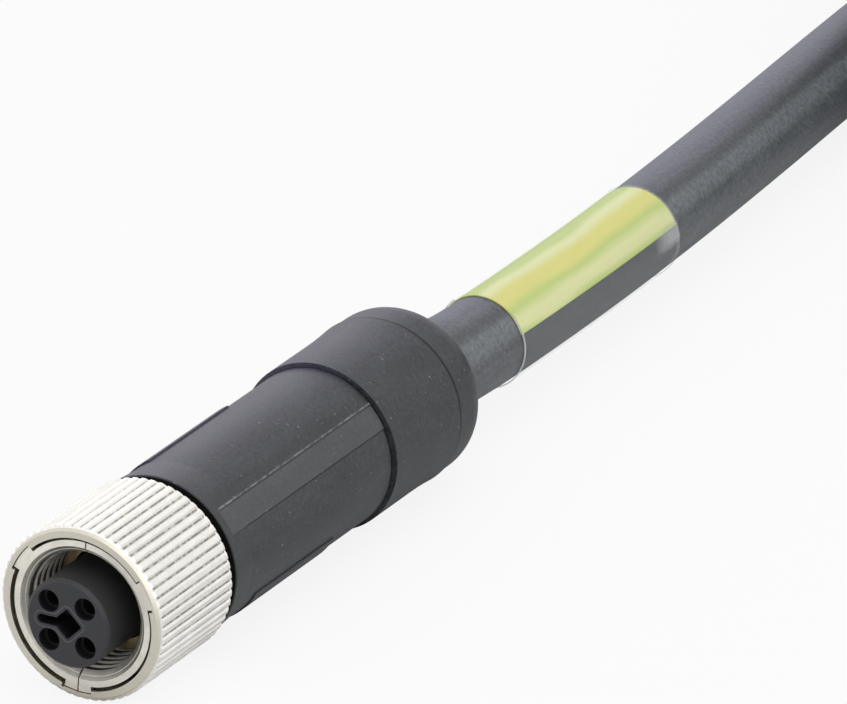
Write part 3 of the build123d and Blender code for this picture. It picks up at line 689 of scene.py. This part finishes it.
def stretch_of(points, start_y, end_y):
    """Part of a line that runs towards +Y between two places, with its ends cut there."""
    part = []
    for before, after in zip(points, points[1:]):
        if before.y < start_y <= after.y:
            part.append(before.lerp(after, (start_y - before.y) / (after.y - before.y)))
        if start_y < after.y < end_y:
            part.append(after)
        if before.y < end_y <= after.y:
            part.append(before.lerp(after, (end_y - before.y) / (after.y - before.y)))
            break
    return part


def section_rings(bm, line, corners):
    """Rows of vertices: a section of (radius, angle) corners set square to each point of a line."""
    rows = []
    for i, point in enumerate(line):
        along = (line[min(i + 1, len(line) - 1)] - line[max(i - 1, 0)]).normalized()
        up = (Vector((0, 0, 1)) - along * along.z).normalized()
        side = along.cross(up)
        rows.append([
            bm.verts.new(point + radius * (math.cos(math.radians(angle)) * side
                                           + math.sin(math.radians(angle)) * up))
            for radius, angle in corners
        ])
    return rows


def wrapped_tube(line, inner_r, outer_r, first_angle, last_angle, sides, rim=0.0):
    """Thin shell round a line, whole or in part.

    With a rim, its two ends take the second and the third material over that length.
    """
    bm = bmesh.new()
    whole = last_angle - first_angle >= 360
    angles = [
        first_angle + (last_angle - first_angle) * i / sides
        for i in range(sides if whole else sides + 1)
    ]
    if rim:
        first = line[0].lerp(line[1], rim / (line[1] - line[0]).length)
        last = line[-1].lerp(line[-2], rim / (line[-2] - line[-1]).length)
        line = [line[0], first, *line[1:-1], last, line[-1]]
    outer = section_rings(bm, line, [(outer_r, angle) for angle in angles])
    inner = section_rings(bm, line, [(inner_r, angle) for angle in angles])
    grid_faces(bm, outer, whole)
    grid_faces(bm, inner, whole)
    grid_faces(bm, [outer[0], inner[0]], whole)
    grid_faces(bm, [outer[-1], inner[-1]], whole)
    if not whole:
        for k in (0, -1):
            grid_faces(bm, [[row[k] for row in outer], [row[k] for row in inner]])
    for face in bm.faces:
        middle_y = face.calc_center_median().y
        if rim and middle_y < line[0].y + rim:
            face.material_index = 1
        elif rim and middle_y > line[-1].y - rim:
            face.material_index = 2
    return bm


def thread_shell(sizes, first_angle, last_angle):
    """Turns of the thread in one half of the ring, as a closed shell that lies on its bore.

    The thread grows from the mouth's cone, so its first turn is shallow.
    """
    bm = bmesh.new()
    pitch, crest_r, root_r = sizes.pitch, sizes.crest_diameter / 2, sizes.bore_diameter / 2
    depth = root_r - THREAD_SKIN - crest_r
    count = round((THREAD_END_Y - THREAD_START_Y) / pitch * THREAD_SAMPLES_PER_PITCH)
    rows = []
    for i in range(THREAD_STEPS_PER_HALF + 1):
        angle = first_angle + (last_angle - first_angle) * i / THREAD_STEPS_PER_HALF
        radial = Vector((math.cos(math.radians(angle)), 0, math.sin(math.radians(angle))))
        row = []
        for k in range(count + 1):
            y = THREAD_START_Y + (THREAD_END_Y - THREAD_START_Y) * k / count
            share = ((y - THREAD_START_Y) / pitch - angle / 360) % 1
            flank = min(share, 1 - share) * THREAD_FLANK_SLOPE - THREAD_GROOVE_FLAT
            height = depth * min(max(flank, 0.0), 1.0)
            room = min(y - THREAD_START_Y, THREAD_END_Y - y)
            reach = root_r - THREAD_SKIN - min(height, room)
            row.append(bm.verts.new(radial * reach + Vector((0, y, 0))))
        back = root_r + THREAD_SKIN
        row.append(bm.verts.new(radial * back + Vector((0, THREAD_END_Y, 0))))
        row.append(bm.verts.new(radial * back + Vector((0, THREAD_START_Y, 0))))
        rows.append(row)
    grid_faces(bm, rows, closed=True)
    bm.faces.new(rows[0])
    bm.faces.new(rows[-1])
    return bm


def arc(middle, radius, first_angle, last_angle):
    """Places (x, z) on an arc, from one angle down to another."""
    return [
        (middle[0] + radius * math.cos(math.radians(angle)),
         middle[1] + radius * math.sin(math.radians(angle)))
        for angle in range(first_angle, last_angle - 1, -LINE_STEP_ANGLE)
    ]


def recess_outline():
    """Places (x, z) of the line round the insert's recess, a square on its corner with an arm."""
    half = LINE_ARM_HALF_WIDTH
    return [
        *arc((0, LINE_CORNER_PLACE), LINE_CORNER_R, 135, 45),
        *arc((LINE_CORNER_PLACE, 0), LINE_CORNER_R, 45, -45),
        *arc((0, -LINE_CORNER_PLACE), LINE_CORNER_R, -45, -135),
        (half - LINE_REACH, -half),
        *arc((LINE_ARM_END_X, 0), half, -90, -270),
        (half - LINE_REACH, half),
    ]


def ridge(places):
    """Low closed ridge on the insert's face, along a loop of (x, z) places."""
    bm = bmesh.new()
    rows = []
    for i, place in enumerate(places):
        along = (Vector(places[(i + 1) % len(places)]) - Vector(places[i - 1])).normalized()
        out = Vector((-along.y, along.x)) * LINE_WIDTH / 2
        middle = Vector(place)
        rows.append([bm.verts.new((corner.x, y, corner.y)) for corner, y in (
            (middle - out, LINE_ROOT), (middle, -LINE_HEIGHT), (middle + out, LINE_ROOT))])
    grid_faces(bm, rows + [rows[0]], closed=True)
    return bm


class CableSizes(bpy.types.PropertyGroup):
    """Sizes of the cable and of what is on it."""
    diameter: bpy.props.FloatProperty(
        name="Cable diameter", description="Outside of the jacket", default=0.0087, unit="LENGTH")
    label_thickness: bpy.props.FloatProperty(
        name="Label thickness", description="Marking film", default=0.0001, unit="LENGTH")
    sleeve_wall: bpy.props.FloatProperty(
        name="Clear sleeve wall", description="Wall of the clear tube over the label",
        default=0.00016, unit="LENGTH")


class ThreadSizes(bpy.types.PropertyGroup):
    """Sizes of the coupling thread."""
    pitch: bpy.props.FloatProperty(
        name="Pitch", description="Distance from turn to turn", default=0.001, unit="LENGTH")
    bore_diameter: bpy.props.FloatProperty(
        name="Outer diameter", description="Bottom of the thread's grooves", default=0.012,
        unit="LENGTH")
    crest_diameter: bpy.props.FloatProperty(
        name="Crest diameter", description="Across the crests", default=0.01092, unit="LENGTH")


class FinishColours(bpy.types.PropertyGroup):
    """Colours that a user may want to change."""
    jacket: bpy.props.FloatVectorProperty(
        name="Cable", description="Cable jacket", size=4, subtype="COLOR",
        default=linear("#5F6367"))
    grip: bpy.props.FloatVectorProperty(
        name="Grip", description="Moulded grip and end ring", size=4, subtype="COLOR",
        default=linear("#333539"))
    insert: bpy.props.FloatVectorProperty(
        name="Insert", description="Contact insert's face", size=4, subtype="COLOR",
        default=linear("#28292C"))
    label_green: bpy.props.FloatVectorProperty(
        name="Label, green", description="Marking film, its greener bands", size=4, subtype="COLOR",
        default=linear("#C9DB74"))
    label_yellow: bpy.props.FloatVectorProperty(
        name="Label, yellow", description="Marking film, its warmer bands", size=4, subtype="COLOR",
        default=linear("#E9E57C"))
    # Painted reflection of the lamps on the label
    label_pale: bpy.props.FloatVectorProperty(
        name="Label, pale", description="Marking film, its thin bands", size=4, subtype="COLOR",
        default=linear("#EDF0AE"))
    sleeve: bpy.props.FloatVectorProperty(
        name="Knurled sleeve", description="Satin nickel of the sleeve", size=4, subtype="COLOR",
        default=linear("#F6F4EF"))
    ring: bpy.props.FloatVectorProperty(
        name="Threaded ring", description="Bright nickel of the threaded ring", size=4,
        subtype="COLOR", default=linear("#F4F0E6"))


class StageSettings(bpy.types.PropertyGroup):
    """Floor and lamps."""
    floor_colour: bpy.props.FloatVectorProperty(
        name="Floor", description="Plain pale floor", size=4, subtype="COLOR",
        default=linear("#F6F6F6"))
    floor_lift: bpy.props.FloatProperty(
        name="Floor white", description="Share of plain white that the camera sees in the floor",
        default=0.87, min=0, max=1, subtype="FACTOR")
    key_power: bpy.props.FloatProperty(
        name="Key lamp", description="Power of the large lamp above", default=2.8, min=0,
        subtype="POWER")
    fill_power: bpy.props.FloatProperty(
        name="Fill lamp", description="Power of the lamp in front", default=1.1, min=0,
        subtype="POWER")
    rim_power: bpy.props.FloatProperty(
        name="Rim lamp", description="Power of the low lamp behind", default=0.7, min=0,
        subtype="POWER")


class ConnectorSettings(bpy.types.PropertyGroup):
    """All settings of the connector."""
    cable: bpy.props.PointerProperty(type=CableSizes)
    thread: bpy.props.PointerProperty(type=ThreadSizes)
    colours: bpy.props.PointerProperty(type=FinishColours)
    stage: bpy.props.PointerProperty(type=StageSettings)


class CONNECTOR_OT_cable(bpy.types.Operator):
    """Lay the cable along its route and wind its spare length"""
    bl_idname = "connector.cable"
    bl_label = "Cable"

    def execute(self, context):
        settings = context.scene.connector
        curve = bpy.data.curves.new("cable", "CURVE")
        curve.dimensions = "3D"
        points = ROUTE + hank_points(settings.cable)
        spline = curve.splines.new("NURBS")
        spline.points.add(len(points) - 1)
        for target, point in zip(spline.points, points):
            target.co = (*point, 1)
        spline.order_u = 3
        spline.use_endpoint_u = True
        spline.resolution_u = 12
        curve.bevel_depth = settings.cable.diameter / 2
        curve.bevel_resolution = 14
        curve.use_fill_caps = True
        curve.materials.append(
            extruded_jacket("polyurethane_jacket_extruded", settings.colours.jacket))
        cable = bpy.data.objects.new("cable", curve)
        context.scene.collection.objects.link(cable)
        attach(cable, BODY)
        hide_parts("cable_run", "cable_hank")
        return {"FINISHED"}


class CONNECTOR_OT_marking(bpy.types.Operator):
    """Wrap the label round the cable and put the clear sleeve over it"""
    bl_idname = "connector.marking"
    bl_label = "Label and clear sleeve"

    def execute(self, context):
        sizes, colours = context.scene.connector.cable, context.scene.connector.colours
        line = stretch_of(centre_line(bpy.data.objects["cable"]), LABEL_START_Y, LABEL_END_Y)
        if len(line) < LABEL_FEWEST_POINTS:
            raise RuntimeError("The cable does not reach the label's place")
        film = dyed_film(
            "polyester_film_dyed_yellow_green", colours.label_green, colours.label_yellow,
            colours.label_pale)
        label_r = sizes.diameter / 2 + sizes.label_thickness
        wrap = wrapped_tube(line, sizes.diameter / 2, label_r, *LABEL_ANGLES, sides=LABEL_SIDES)
        label = new_object("label", wrap, [film], BODY)
        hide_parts("marker_label")
        wall = clear_vinyl("vinyl_tube_extruded_clear", linear("#F4F6F8"), SLEEVE_ALPHA, 0.3)
        near_cut = clear_vinyl(
            "vinyl_tube_cut_near_end", linear("#ECEEEE"), SLEEVE_CUT_ALPHAS[0], 0.4)
        far_cut = clear_vinyl(
            "vinyl_tube_cut_far_end", linear("#D9DCDD"), SLEEVE_CUT_ALPHAS[1], 0.4)
        tube = wrapped_tube(
            line, label_r + SLEEVE_GAP, label_r + sizes.sleeve_wall, 0, 360, sides=TUBE_SIDES,
            rim=SLEEVE_RIM)
        sleeve = new_object("label_sleeve", tube, [wall, near_cut, far_cut], BODY)
        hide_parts("clear_sleeve")
        return {"FINISHED"}


class CONNECTOR_OT_open_end(bpy.types.Operator):
    """Finish the ties and the stripped cores"""
    bl_idname = "connector.open_end"
    bl_label = "Ties, cores and ferrules"

    def execute(self, context):
        dress(hook_and_loop("nylon_hook_and_loop_tape"), "hank_tie_left", "hank_tie_right")
        tinned = turned_metal("copper_ferrule_tinned", linear("#D4D3CF"), linear("#B9B8B4"), 0.32)
        on_cable = [bpy.data.objects["label"], bpy.data.objects["label_sleeve"],
                    NODES["hank_tie_left"], NODES["hank_tie_right"]]
        for number, (name, tone) in enumerate(CORE_COLOURS, start=1):
            insulation = moulded_polymer(f"polypropylene_insulation_{name}", linear(tone), 0.38)
            dress(insulation, f"free_core_{number}", f"inner_core_{number}")
            dress(tinned, f"core_ferrule_{number}")
            on_cable += [NODES[f"free_core_{number}"], NODES[f"core_ferrule_{number}"]]
        return {"FINISHED"}


class CONNECTOR_OT_coupling(bpy.types.Operator):
    """Finish the knurled sleeve and the threaded ring, and cut the thread's turns"""
    bl_idname = "connector.coupling"
    bl_label = "Coupling"

    def execute(self, context):
        settings = context.scene.connector
        colours = settings.colours
        knurled = knurled_brass(
            "brass_knurled_satin_nickel", colours.sleeve, shaded(colours.sleeve, 0.93))
        turned = turned_metal(
            "brass_turned_satin_nickel", colours.ring, shaded(colours.ring, 0.88), 0.42)
        cut = threaded_brass("brass_thread_satin_nickel", colours.ring, shaded(colours.ring, 0.85))
        bare = turned_metal("brass_turned_bare", linear("#DCCBA6"), linear("#B9A37A"), 0.35)
        dress(knurled, "knurled_sleeve")
        dress(turned, "threaded_ring_right", "threaded_ring_left")
        dress(bare, "support_barrel")
        dress(spring_steel("steel_spring_wire_drawn"), "snap_ring")
        line = [Vector((0, y, 0)) for y in WASHER_FACES_Y]
        disc = wrapped_tube(line, WASHER_BORE_R, WASHER_R, 0, 360, sides=TUBE_SIDES)
        washer = new_object("seal_washer", disc, [bare], BODY)
        for name, (first, last) in {
            "thread_right": (SPLIT_ANGLES[0], SPLIT_ANGLES[1]),
            "thread_left": (SPLIT_ANGLES[1], SPLIT_ANGLES[0] + 360),
        }.items():
            shell = thread_shell(settings.thread, first + SPLIT_HALF_ANGLE, last - SPLIT_HALF_ANGLE)
            new_object(name, shell, [cut], RING_BODY)
        return {"FINISHED"}


class CONNECTOR_OT_insert(bpy.types.Operator):
    """Finish the contact insert, its contacts and the seal"""
    bl_idname = "connector.insert"
    bl_label = "Insert and contacts"

    def execute(self, context):
        plastic = moulded_insert("polyamide_insert_moulded", context.scene.connector.colours.insert)
        dress(plastic, "contact_insert")
        # Painted highlight: the fine line is lighter than the face, as its lit edge
        painted_highlight = moulded_polymer(
            "polyamide_insert_painted_highlight", linear("#55565B"), 0.45, INSERT_GRAIN_MM)
        line = new_object("recess_line", ridge(recess_outline()), [painted_highlight], BODY)
        contact = turned_metal(
            "brass_contact_gold_plated", linear("#B08E4A"), linear("#6E5830"), 0.35)
        dress(contact, *(f"socket_contact_{i}" for i in range(1, 5)))
        dress(moulded_polymer("nitrile_rubber_moulded", linear("#1E1E20"), 0.6), "seal_ring")
        return {"FINISHED"}


class CONNECTOR_OT_grip(bpy.types.Operator):
    """Finish the moulded grip, its end ring and the mould inside"""
    bl_idname = "connector.grip"
    bl_label = "Grip"

    def execute(self, context):
        grip = moulded_grip("polyurethane_moulded_sandy", context.scene.connector.colours.grip)
        dress(grip, "grip_body", "end_ring")
        dress(moulded_polymer("polypropylene_inner_mould", linear("#28282A"), 0.6), "inner_mould")
        return {"FINISHED"}


class CONNECTOR_OT_stage(bpy.types.Operator):
    """Set the floor, the soft lamps and the camera"""
    bl_idname = "connector.stage"
    bl_label = "Stage"

    def execute(self, context):
        settings = context.scene.connector.stage
        self.floor(context, settings)
        self.world(context)
        self.lamp(context, "key_lamp", *KEY_LAMP, settings.key_power)
        self.lamp(context, "fill_lamp", *FILL_LAMP, settings.fill_power)
        self.lamp(context, "rim_lamp", *RIM_LAMP, settings.rim_power)
        self.camera(context)
        context.scene.view_settings.view_transform = "Standard"
        return {"FINISHED"}

    def floor(self, context, settings):
        """Plain pale floor that keeps the soft shadow."""
        bm = bmesh.new()
        bm.faces.new([bm.verts.new((x * FLOOR_HALF, y * FLOOR_HALF, FLOOR_Z)) for x, y in (
            (-1, -1), (1, -1), (1, 1), (-1, 1))])
        mesh = bpy.data.meshes.new("floor")
        bm.to_mesh(mesh)
        bm.free()
        material, tree, _ = new_material("painted_board_white_matte")
        board = add_node(tree, "ShaderNodeBsdfPrincipled", {
            "Base Color": list(settings.floor_colour), "Roughness": 0.9})
        white = add_node(tree, "ShaderNodeEmission", {"Strength": 1.0})
        seen = add_node(tree, "ShaderNodeLightPath", result="Is Camera Ray")
        share = add_node(
            tree, "ShaderNodeMath", {0: seen, 1: settings.floor_lift}, operation="MULTIPLY")
        mixed = add_node(tree, "ShaderNodeMixShader", {0: share, 1: board, 2: white})
        add_node(tree, "ShaderNodeOutputMaterial", {"Surface": mixed})
        mesh.materials.append(material)
        floor = bpy.data.objects.new("floor", mesh)
        context.scene.collection.objects.link(floor)

    def world(self, context):
        """Even studio light, white where the camera, metal or clear plastic sees it."""
        world = bpy.data.worlds.new("studio")
        world.use_nodes = True
        tree = world.node_tree
        tree.nodes.clear()
        rays = [add_node(tree, "ShaderNodeLightPath", result=kind)
                for kind in ("Is Camera Ray", "Is Glossy Ray", "Is Transmission Ray")]
        strength = add_node(tree, "ShaderNodeMapRange", {
            "Value": largest(tree, rays), "To Min": WORLD_STRENGTH, "To Max": 1.0})
        light = add_node(tree, "ShaderNodeBackground", {
            "Color": linear("#FFFFFF"), "Strength": strength})
        add_node(tree, "ShaderNodeOutputWorld", {"Surface": light})
        context.scene.world = world

    def lamp(self, context, name, place, aim, size, power):
        """Square soft lamp at a place, turned to its aim."""
        data = bpy.data.lights.new(name, "AREA")
        data.energy = power
        data.size = size
        lamp = bpy.data.objects.new(name, data)
        turn = (Vector(aim) - Vector(place)).to_track_quat("-Z", "Y")
        lamp.matrix_world = Matrix.Translation(place) @ turn.to_matrix().to_4x4()
        context.scene.collection.objects.link(lamp)

    def camera(self, context):
        """Long lens at the photograph's angle."""
        azimuth, elevation = math.radians(CAMERA_AZIMUTH), math.radians(CAMERA_ELEVATION)
        right = Vector((math.cos(azimuth), math.sin(azimuth), 0))
        forward = Vector((
            -math.sin(azimuth) * math.cos(elevation),
            math.cos(azimuth) * math.cos(elevation),
            -math.sin(elevation),
        ))
        up = right.cross(forward)
        data = bpy.data.cameras.new("photograph")
        data.sensor_width = SENSOR_MM
        data.lens = FOCAL_PIXELS / IMAGE_WIDTH * SENSOR_MM
        data.clip_start, data.clip_end = CAMERA_CLIP
        camera = bpy.data.objects.new("photograph", data)
        aim = Vector((0, RING_PLANE_Y, 0)) + CAMERA_AIM[0] * right + CAMERA_AIM[1] * up
        turn = Matrix((right, up, -forward)).transposed().to_4x4()
        camera.matrix_world = Matrix.Translation(aim - CAMERA_DISTANCE * forward) @ turn
        context.scene.collection.objects.link(camera)
        context.scene.camera = camera


STEPS = (
    CONNECTOR_OT_cable, CONNECTOR_OT_marking, CONNECTOR_OT_open_end, CONNECTOR_OT_coupling,
    CONNECTOR_OT_insert, CONNECTOR_OT_grip, CONNECTOR_OT_stage,
)


class CONNECTOR_PT_sidebar(bpy.types.Panel):
    """Settings and steps of the connector"""
    bl_idname = "CONNECTOR_PT_sidebar"
    bl_label = "Sensor connector"
    bl_space_type = "VIEW_3D"
    bl_region_type = "UI"
    bl_category = "Connector"

    def draw(self, context):
        settings = context.scene.connector
        for group in (settings.cable, settings.thread, settings.colours, settings.stage):
            box = self.layout.box()
            for name in type(group).__annotations__:
                box.prop(group, name)
        for step in STEPS:
            self.layout.operator(step.bl_idname)


CLASSES = (
    CableSizes, ThreadSizes, FinishColours, StageSettings, ConnectorSettings, *STEPS,
    CONNECTOR_PT_sidebar,
)


def register():
    """Adds the settings, operators and panel."""
    for cls in CLASSES:
        bpy.utils.register_class(cls)
    bpy.types.Scene.connector = bpy.props.PointerProperty(type=ConnectorSettings)


def unregister():
    """Takes them away again."""
    del bpy.types.Scene.connector
    for cls in reversed(CLASSES):
        bpy.utils.unregister_class(cls)


def main():
    """Builds every piece."""
    register()
    bpy.ops.connector.cable()
    bpy.ops.connector.marking()
    bpy.ops.connector.open_end()
    bpy.ops.connector.coupling()
    bpy.ops.connector.insert()
    bpy.ops.connector.grip()
    bpy.ops.connector.stage()
    bpy.context.view_layer.update()


if __name__ == "__main__":
    main()
